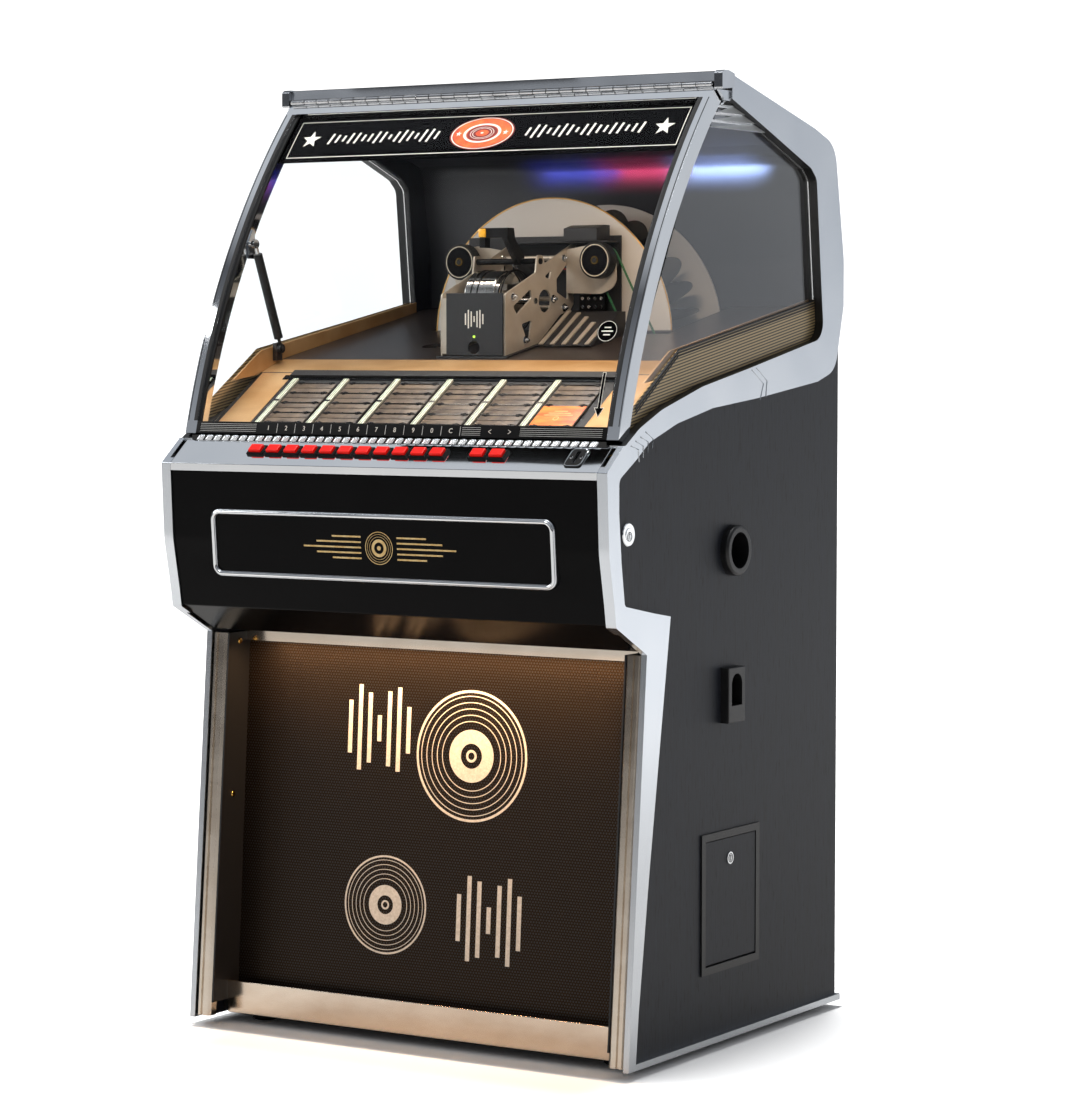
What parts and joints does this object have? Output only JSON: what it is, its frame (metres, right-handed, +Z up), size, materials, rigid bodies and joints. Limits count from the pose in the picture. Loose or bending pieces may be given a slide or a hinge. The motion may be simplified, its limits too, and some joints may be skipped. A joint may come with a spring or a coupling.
{
  "type": "vinyl jukebox",
  "caption": "Tall free-standing jukebox with a curved hinged glass door, a record drum, selector buttons, a sloping shelf and a speaker grille below.",
  "frame": {"origin": "floor level under the centre of the bounding box", "axes": "+X to the right seen from the front, +Y to the back, +Z up"},
  "size_m": [0.85, 0.766, 1.545],
  "materials": {
    "black_ash": "satin black stained ash with vertical grain",
    "silver_trim": "satin silver",
    "chrome": "polished",
    "black_board": "matt black board",
    "black_satin": "satin black",
    "hood_grey": "dark grey, matt",
    "clear_glass": "clear",
    "grille_bronze": "dark bronze and black paint",
    "rack_brown": "dark brown",
    "speaker_black": "black pulp cone in a black frame",
    "champagne_steel": "champagne plated",
    "steel": "plated",
    "tonearm_metal": "satin",
    "drum_grey": "light grey paint with a bright rim",
    "vinyl": "glossy black",
    "red_plastic": "translucent red",
    "rubber": "matt black",
    "brass": "polished"
  },
  "bodies": {
    "cabinet": {"base_panel": "black_board", "feet": "rubber", "side_panel_left": "black_ash", "side_panel_right": "black_ash", "side_trim_left": "silver_trim", "side_trim_right": "silver_trim", "back_panel": "black_board", "roof_panel": "black_board", "hood_lining": "hood_grey", "top_bar": "chrome", "side_windows": "clear_glass", "window_bands": "black_satin", "belly_panel": "black_satin", "nameplate": "chrome", "selector_shelf": "chrome", "shelf_fittings": "black_satin", "rib_strip": "chrome", "lower_chrome": "chrome", "speaker_grille": "grille_bronze", "speaker_baffle": "black_board", "loudspeakers": "speaker_black", "deck_plate": "grille_bronze", "title_rack": "rack_brown", "side_cups": "black_satin", "coin_works": "steel", "electrics": "steel", "screws": "brass", "mech_plates": "champagne_steel", "mech_covers": "grille_bronze", "drive_belt": "rubber"},
    "door": {"door_frame": "chrome", "door_glass": "clear_glass", "door_header": "black_satin", "number_rail": "black_satin"},
    "strut_tube": {"strut_tube": "grille_bronze"},
    "strut_rod": {"strut_rod": "chrome"},
    "magazine": {"record_magazine": "drum_grey", "records": "vinyl"},
    "turntable": {"turntable": "chrome"},
    "gripper_arm": {"gripper_arm": "black_satin"},
    "tonearm": {"tonearm": "tonearm_metal"},
    "wheel_left": {"wheel_left": "rubber"},
    "wheel_right": {"wheel_right": "rubber"},
    "motor_pulley": {"motor_pulley": "rubber"},
    "cash_door": {"cash_door": "grille_bronze"},
    "cash_lock": {"cash_lock": "steel"},
    "trim_lock": {"trim_lock": "steel"},
    "button_1": {"button_1": "red_plastic"},
    "button_2": {"button_2": "red_plastic"},
    "button_3": {"button_3": "red_plastic"},
    "button_4": {"button_4": "red_plastic"},
    "button_5": {"button_5": "red_plastic"},
    "button_6": {"button_6": "red_plastic"},
    "button_7": {"button_7": "red_plastic"},
    "button_8": {"button_8": "red_plastic"},
    "button_9": {"button_9": "red_plastic"},
    "button_0": {"button_0": "red_plastic"},
    "button_clear": {"button_clear": "red_plastic"},
    "button_left": {"button_left": "red_plastic"},
    "button_right": {"button_right": "red_plastic"}
  },
  "joints": [
    {"name": "door_hinge", "type": "hinge", "parent": "cabinet", "child": "door", "pos_m": [0, -0.042, 1.523], "axis": [-1, 0, 0], "range_deg": [0, 24]},
    {"name": "strut_pivot", "type": "hinge", "parent": "cabinet", "child": "strut_tube", "pos_m": [-0.377, -0.114, 1.11], "axis": [1, 0, 0], "range_deg": [0, 9.7]},
    {"name": "strut_slide", "type": "slide", "parent": "strut_tube", "child": "strut_rod", "axis": [0, -0.38, 0.925], "range_m": [0, 0.1105]},
    {"name": "magazine_spin", "type": "hinge", "parent": "cabinet", "child": "magazine", "pos_m": [-0.011, 0.2, 1.131], "axis": [0, 1, 0], "continuous": true},
    {"name": "wheel_left_spin", "type": "hinge", "parent": "cabinet", "child": "wheel_left", "pos_m": [-0.1495, 0.093, 1.255], "axis": [0, 1, 0], "continuous": true},
    {"name": "wheel_right_spin", "type": "hinge", "parent": "cabinet", "child": "wheel_right", "pos_m": [0.1165, 0.093, 1.255], "axis": [0, 1, 0], "continuous": true},
    {"name": "motor_pulley_spin", "type": "hinge", "parent": "cabinet", "child": "motor_pulley", "pos_m": [0.205, 0.118, 1.087], "axis": [0, 1, 0], "continuous": true},
    {"name": "turntable_spin", "type": "hinge", "parent": "cabinet", "child": "turntable", "pos_m": [-0.033, 0.01, 1.188], "axis": [1, 0, 0], "continuous": true},
    {"name": "gripper_swing", "type": "hinge", "parent": "cabinet", "child": "gripper_arm", "pos_m": [0.005, 0.026, 1.253], "axis": [-1, 0, 0], "range_deg": [0, 60]},
    {"name": "tonearm_swing", "type": "hinge", "parent": "cabinet", "child": "tonearm", "pos_m": [0.023, 0.078, 1.217], "axis": [-1, 0, 0], "range_deg": [0, 20]},
    {"name": "cash_door_hinge", "type": "hinge", "parent": "cabinet", "child": "cash_door", "pos_m": [0.409, 0.0145, 0.138], "axis": [0, 1, 0], "range_deg": [0, 90]},
    {"name": "cash_lock_turn", "type": "hinge", "parent": "cash_door", "child": "cash_lock", "pos_m": [0.41, 0.011, 0.3], "axis": [-1, 0, 0], "range_deg": [0, 90]},
    {"name": "trim_lock_turn", "type": "hinge", "parent": "cabinet", "child": "trim_lock", "pos_m": [0.41, -0.307, 0.831], "axis": [1, 0, 0], "range_deg": [0, 90]},
    {"name": "button_1_press", "type": "slide", "parent": "cabinet", "child": "button_1", "axis": [0, 0.6268, -0.7792], "range_m": [0, 0.003], "stiffness_N_per_m": 300, "springref_m": -0.002},
    {"name": "button_2_press", "type": "slide", "parent": "cabinet", "child": "button_2", "axis": [0, 0.6268, -0.7792], "range_m": [0, 0.003], "stiffness_N_per_m": 300, "springref_m": -0.002},
    {"name": "button_3_press", "type": "slide", "parent": "cabinet", "child": "button_3", "axis": [0, 0.6268, -0.7792], "range_m": [0, 0.003], "stiffness_N_per_m": 300, "springref_m": -0.002},
    {"name": "button_4_press", "type": "slide", "parent": "cabinet", "child": "button_4", "axis": [0, 0.6268, -0.7792], "range_m": [0, 0.003], "stiffness_N_per_m": 300, "springref_m": -0.002},
    {"name": "button_5_press", "type": "slide", "parent": "cabinet", "child": "button_5", "axis": [0, 0.6268, -0.7792], "range_m": [0, 0.003], "stiffness_N_per_m": 300, "springref_m": -0.002},
    {"name": "button_6_press", "type": "slide", "parent": "cabinet", "child": "button_6", "axis": [0, 0.6268, -0.7792], "range_m": [0, 0.003], "stiffness_N_per_m": 300, "springref_m": -0.002},
    {"name": "button_7_press", "type": "slide", "parent": "cabinet", "child": "button_7", "axis": [0, 0.6268, -0.7792], "range_m": [0, 0.003], "stiffness_N_per_m": 300, "springref_m": -0.002},
    {"name": "button_8_press", "type": "slide", "parent": "cabinet", "child": "button_8", "axis": [0, 0.6268, -0.7792], "range_m": [0, 0.003], "stiffness_N_per_m": 300, "springref_m": -0.002},
    {"name": "button_9_press", "type": "slide", "parent": "cabinet", "child": "button_9", "axis": [0, 0.6268, -0.7792], "range_m": [0, 0.003], "stiffness_N_per_m": 300, "springref_m": -0.002},
    {"name": "button_0_press", "type": "slide", "parent": "cabinet", "child": "button_0", "axis": [0, 0.6268, -0.7792], "range_m": [0, 0.003], "stiffness_N_per_m": 300, "springref_m": -0.002},
    {"name": "button_clear_press", "type": "slide", "parent": "cabinet", "child": "button_clear", "axis": [0, 0.6268, -0.7792], "range_m": [0, 0.003], "stiffness_N_per_m": 300, "springref_m": -0.002},
    {"name": "button_left_press", "type": "slide", "parent": "cabinet", "child": "button_left", "axis": [0, 0.6268, -0.7792], "range_m": [0, 0.003], "stiffness_N_per_m": 300, "springref_m": -0.002},
    {"name": "button_right_press", "type": "slide", "parent": "cabinet", "child": "button_right", "axis": [0, 0.6268, -0.7792], "range_m": [0, 0.003], "stiffness_N_per_m": 300, "springref_m": -0.002}
  ],
  "couplings": [
    {"joint": "strut_pivot", "follows": "door_hinge", "ratio": 0.3995},
    {"joint": "strut_slide", "follows": "door_hinge", "m_per_rad": 0.2617},
    {"joint": "wheel_left_spin", "follows": "magazine_spin", "ratio": -7.7},
    {"joint": "wheel_right_spin", "follows": "magazine_spin", "ratio": -7.7},
    {"joint": "motor_pulley_spin", "follows": "magazine_spin", "ratio": -7.7}
  ]
}
